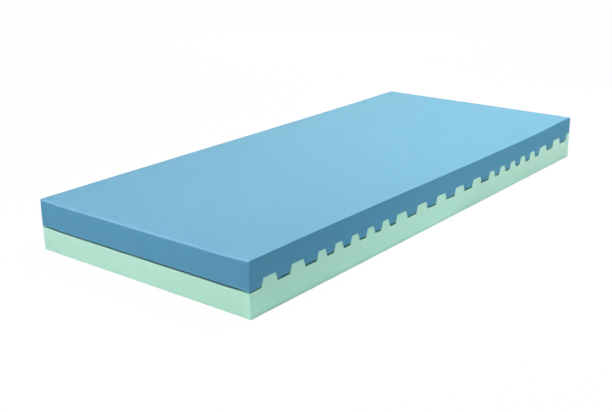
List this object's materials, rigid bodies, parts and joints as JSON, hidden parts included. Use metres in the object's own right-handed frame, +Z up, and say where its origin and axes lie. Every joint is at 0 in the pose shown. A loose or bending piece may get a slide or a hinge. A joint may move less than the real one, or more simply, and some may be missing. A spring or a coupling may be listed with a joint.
{
  "type": "pressure relief mattress core",
  "caption": "Long flat foam mattress core for a ward bed: a soft top layer whose teeth sit between the tapered cross ribs of a firmer base layer, with air channels under the teeth.",
  "frame": {"origin": "middle of the underside, where the mattress lies on the bed deck", "axes": "+X along the length, towards the end that closes with a half rib; +Y across the width; +Z up, through the thickness"},
  "size_m": [1.98, 0.88, 0.17],
  "materials": {
    "base_foam": "matte",
    "top_foam": "matte"
  },
  "bodies": {
    "base": {"base_layer": "base_foam"},
    "top": {"top_layer": "top_foam"}
  },
  "joints": [
    {"name": "top_layer_lift", "type": "slide", "parent": "base", "child": "top", "axis": [0, 0, 1], "range_m": [0, 0.12]}
  ]
}
